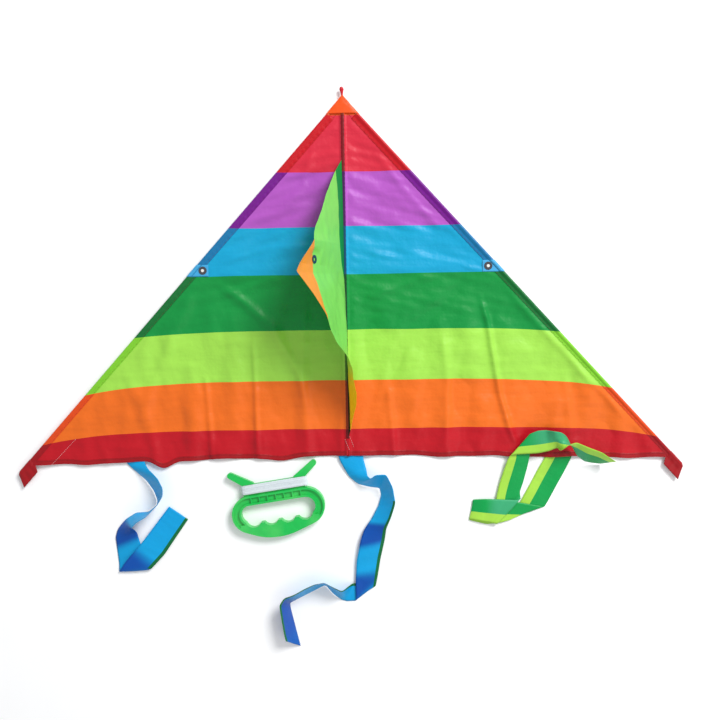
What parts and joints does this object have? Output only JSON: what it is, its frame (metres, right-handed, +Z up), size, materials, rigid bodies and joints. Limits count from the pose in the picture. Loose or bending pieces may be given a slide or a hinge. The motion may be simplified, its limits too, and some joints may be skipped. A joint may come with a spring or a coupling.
{
  "type": "delta kite",
  "caption": "Rainbow-striped delta kite with a keel, ribbon tails and a wound D-shaped line winder, lying face up.",
  "frame": {"origin": "the middle of the kite's outline on the surface that it lies on, x = 0 on the spine", "axes": "+X towards the right wingtip, +Y towards the nose, +Z up, the side that the keel stands on"},
  "size_m": [1.0088, 0.835, 0.1377],
  "materials": {
    "rod_fibreglass": "smooth pultruded rod",
    "vinyl_cap": "soft moulded vinyl",
    "sleeve_cloth": "folded printed film, translucent",
    "sail_cloth": "printed rainbow film, satin, slightly translucent",
    "nose_cloth": "folded printed film",
    "tab_cloth": "doubled pale blue film",
    "keel_cloth": "printed film, green, lime and orange",
    "tail_blue": "cut film ribbon",
    "tail_green": "cut film ribbon with a lime band",
    "eyelet_metal": "stamped and rolled, gunmetal",
    "fitting_plastic": "moulded, natural nylon",
    "winder_plastic": "injection moulded, semi-gloss",
    "line_nylon": "twisted multifilament"
  },
  "bodies": {
    "spine": {"spine_rod": "rod_fibreglass", "spine_sleeve": "sleeve_cloth", "spine_rear_cap": "vinyl_cap", "nose_patch": "nose_cloth", "nose_tip": "nose_cloth"},
    "left_wing": {"left_sail": "sail_cloth", "left_leading_spar": "rod_fibreglass", "left_leading_sleeve": "sleeve_cloth", "left_spar_cap": "vinyl_cap", "left_tip_pocket": "sleeve_cloth", "left_wing_tab": "tab_cloth", "left_wing_eyelet": "eyelet_metal", "left_eyelet_washer": "eyelet_metal"},
    "right_wing": {"right_sail": "sail_cloth", "right_leading_spar": "rod_fibreglass", "right_leading_sleeve": "sleeve_cloth", "right_spar_cap": "vinyl_cap", "right_tip_pocket": "sleeve_cloth", "right_wing_tab": "tab_cloth", "right_wing_eyelet": "eyelet_metal", "right_eyelet_washer": "eyelet_metal"},
    "keel": {"keel_panel": "keel_cloth", "tow_eyelet": "eyelet_metal", "tow_washer": "eyelet_metal"},
    "spreader": {"spreader_rod": "rod_fibreglass", "left_spreader_fitting": "fitting_plastic", "right_spreader_fitting": "fitting_plastic"},
    "left_tail": {"left_tail": "tail_blue"},
    "centre_tail": {"centre_tail": "tail_blue"},
    "right_tail": {"right_tail": "tail_green"},
    "winder": {"winder_handle": "winder_plastic", "flying_line": "line_nylon"}
  },
  "joints": [
    {"name": "left_wing_fold", "type": "hinge", "parent": "spine", "child": "left_wing", "pos_m": [0, 0, 0.0071], "axis": [0, 1, 0], "range_deg": [0, 80]},
    {"name": "right_wing_fold", "type": "hinge", "parent": "spine", "child": "right_wing", "pos_m": [0, 0, 0.0071], "axis": [0, -1, 0], "range_deg": [0, 80]},
    {"name": "keel_swing", "type": "hinge", "parent": "spine", "child": "keel", "pos_m": [0, 0, 0.0071], "axis": [0, 1, 0], "range_deg": [0, 25]},
    {"name": "spreader_release", "type": "slide", "parent": "spine", "child": "spreader", "axis": [0, 0, -1], "range_m": [0, 0.04]},
    {"name": "left_tail_swing", "type": "hinge", "parent": "left_wing", "child": "left_tail", "pos_m": [-0.32, -0.1335, 0.005], "axis": [1, 0, 0], "range_deg": [0, 90]},
    {"name": "centre_tail_swing", "type": "hinge", "parent": "spine", "child": "centre_tail", "pos_m": [0.003, -0.1275, 0.006], "axis": [1, 0, 0], "range_deg": [0, 90]},
    {"name": "right_tail_swing", "type": "hinge", "parent": "right_wing", "child": "right_tail", "pos_m": [0.312, -0.1334, 0.005], "axis": [1, 0, 0], "range_deg": [0, 90]},
    {"name": "winder_lift", "type": "slide", "parent": "spine", "child": "winder", "axis": [0, 0, 1], "range_m": [0, 0.2]}
  ],
  "couplings": [
    {"joint": "keel_swing", "follows": "left_wing_fold", "ratio": 0.3125}
  ]
}
